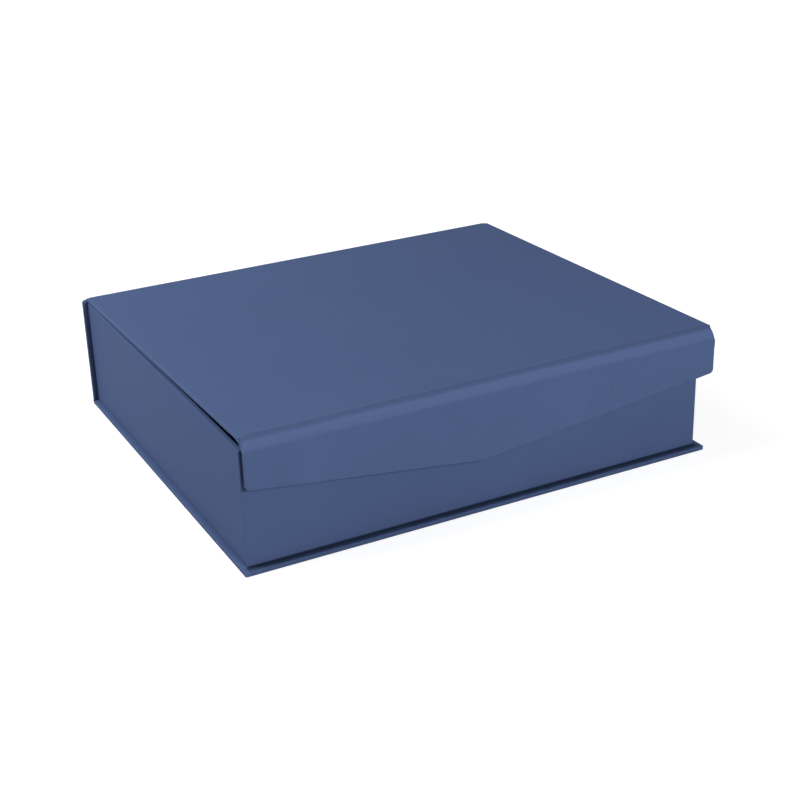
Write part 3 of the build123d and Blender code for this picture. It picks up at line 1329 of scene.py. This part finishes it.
@dataclass
class Studio:
    """White surroundings, soft lamps, and the camera."""

    floor_reach: float = 6.0
    floor_drop: float = 0.2 * MM
    camera_place: Triple = (-0.3140, -0.6318, 0.3271)
    elevation: float = 23.941
    azimuth: float = 27.099
    roll: float = -1.741
    focal_pixels: float = 1526.8
    picture_pixels: float = 800.0
    sensor: float = 36.0
    ambient: float = 0.05
    lamps: Sequence[SoftBox] = (
        SoftBox("left_lamp", (-0.62, 0.11, 0.62), (0.0, 0.0, 0.05), (0.3, 0.3), 4.4),
        SoftBox("top_lamp", (-0.4, 0.35, 0.8), (0.0, 0.0, 0.05), (0.35, 0.35), 1.8),
        SoftBox("front_lamp", (0.1, -1.24, 0.58), (0.0, 0.0, 0.03), (0.65, 0.2), 12.4),
        SoftBox("back_lamp", (-0.5, 1.3, 0.3), (0.0, 0.0, 0.03), (0.9, 0.3), 5.0),
        SoftBox("right_lamp", (1.4, -0.2, 0.3), (0.0, 0.0, 0.03), (0.9, 0.3), 3.0),
    )

    def build(self) -> None:
        """Builds the floor, the world, the lamps and the camera."""
        self._floor()
        self._world()
        for lamp in self.lamps:
            lamp.build()
        self._camera()
        bpy.context.scene.view_settings.view_transform = "Standard"

    def _floor(self) -> None:
        """A pale floor that stays white to the camera and keeps the box's shadow."""
        start_clear()
        under = (0.0, 0.0, -self.floor_drop)
        bpy.ops.mesh.primitive_plane_add(size=self.floor_reach, location=under)
        floor = bpy.context.object
        floor.name = "floor"
        bpy.ops.object.transform_apply(location=True, rotation=True, scale=True)
        material, pad = material_pad("pale_floor")
        coords = pad.coords()
        colour = pad.tint(pad.noise(coords, 3.0, 2.0), (0.56, 0.56, 0.56), (0.59, 0.59, 0.59))
        matt = pad.add("BsdfDiffuse", inputs={"Color": colour})
        level = pad.remap(pad.vector("LENGTH", coords), 0.2, 0.7, 0.72, 1.0)
        glow = pad.add("Emission", inputs={"Color": WHITE, "Strength": level})
        both = pad.add("AddShader", inputs={0: matt.outputs[0], 1: glow.outputs[0]})
        seen = self._seen(pad)
        mixed = pad.add("MixShader", inputs={0: seen, 1: matt.outputs[0], 2: both.outputs[0]})
        pad.add("OutputMaterial", inputs={"Surface": mixed.outputs[0]})
        put_on(floor, material)

    def _world(self) -> None:
        """White surroundings, dim as light and full white to the camera."""
        world = bpy.data.worlds.new("white_room")
        world.use_nodes = True
        pad = NodePad(world.node_tree)
        dim = pad.add("Background", inputs={"Color": WHITE, "Strength": self.ambient})
        white = pad.add("Background", inputs={"Color": WHITE, "Strength": 1.0})
        seen = self._seen(pad)
        mixed = pad.add("MixShader", inputs={0: seen, 1: dim.outputs[0], 2: white.outputs[0]})
        pad.add("OutputWorld", inputs={"Surface": mixed.outputs[0]})
        bpy.context.scene.world = world

    @staticmethod
    def _seen(pad: NodePad) -> Output:
        """Tells what the camera sees, straight or in a reflection, from other light.

        Args:
            pad: The pad of the floor's material or of the world.

        Returns:
            A socket that is one for the camera and zero for other light.
        """
        path = pad.add("LightPath")
        glossy, through = path.outputs["Is Glossy Ray"], path.outputs["Is Transmission Ray"]
        clear = pad.maths("MAXIMUM", glossy, through)
        return pad.maths("MAXIMUM", path.outputs["Is Camera Ray"], clear)

    def _camera(self) -> None:
        """The camera, low at the front left, with a slight roll."""
        rise, swing, tilt = (math.radians(a) for a in (self.elevation, self.azimuth, self.roll))
        flat = math.cos(rise)
        ahead = Vector((math.sin(swing) * flat, math.cos(swing) * flat, -math.sin(rise)))
        level = ahead.cross(Vector((0.0, 0.0, 1.0))).normalized()
        down = ahead.cross(level)
        right = math.cos(-tilt) * level + math.sin(-tilt) * down
        below = -math.sin(-tilt) * level + math.cos(-tilt) * down
        start_clear()
        bpy.ops.object.camera_add(location=self.camera_place)
        camera = bpy.context.object
        camera.name = "camera"
        turn = Matrix((right, -below, -ahead)).transposed()
        camera.rotation_euler = turn.to_euler()
        camera.data.sensor_fit = "HORIZONTAL"
        camera.data.sensor_width = self.sensor
        camera.data.lens = self.focal_pixels / self.picture_pixels * self.sensor
        camera.data.clip_start = 0.01
        bpy.context.scene.camera = camera


def main() -> None:
    """Builds the box's papers and finishes around the frame, and the studio."""
    logging.basicConfig(level=logging.INFO, format="%(name)s: %(message)s")
    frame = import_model()
    pivot = Vector(next(j["pos_m"] for j in frame["joints"] if j["name"] == "lid_hinge"))
    Boards().dress(frame["nodes"], pivot)
    for joint in (FlapJoint(), SpineJoint()):
        piece = joint.build()
        LOG.info("built %s with %d faces", piece.name, len(piece.data.polygons))
    Studio().build()
    LOG.info("built the studio")


if __name__ == "__main__":
    main()
